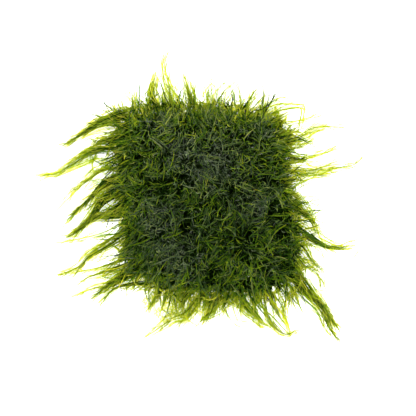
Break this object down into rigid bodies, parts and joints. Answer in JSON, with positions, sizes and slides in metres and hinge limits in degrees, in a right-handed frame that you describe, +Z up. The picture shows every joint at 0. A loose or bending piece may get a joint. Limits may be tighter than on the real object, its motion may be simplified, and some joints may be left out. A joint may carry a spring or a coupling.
{
  "type": "spiky moss on steel mesh",
  "caption": "Low square cushion of spiky aquarium moss grown over a flat steel mesh, with tapered shoots trailing outwards all round. Lies flat on tank floor or table.",
  "frame": {"origin": "middle of the mesh's underside, on the flat lower side of the wire that runs through it", "axes": "+Z up out of the moss, +X along the lower wires towards the right of the view from above, +Y along the upper wires"},
  "size_m": [0.1732, 0.1568, 0.0205],
  "materials": {
    "stainless_steel": "dull drawn stainless wire, spot welded",
    "moss": "wet living moss, dark green inside and yellow-green at the tips"
  },
  "bodies": {
    "root": {"steel_mesh": "stainless_steel", "spiky_moss": "moss"}
  },
  "joints": []
}
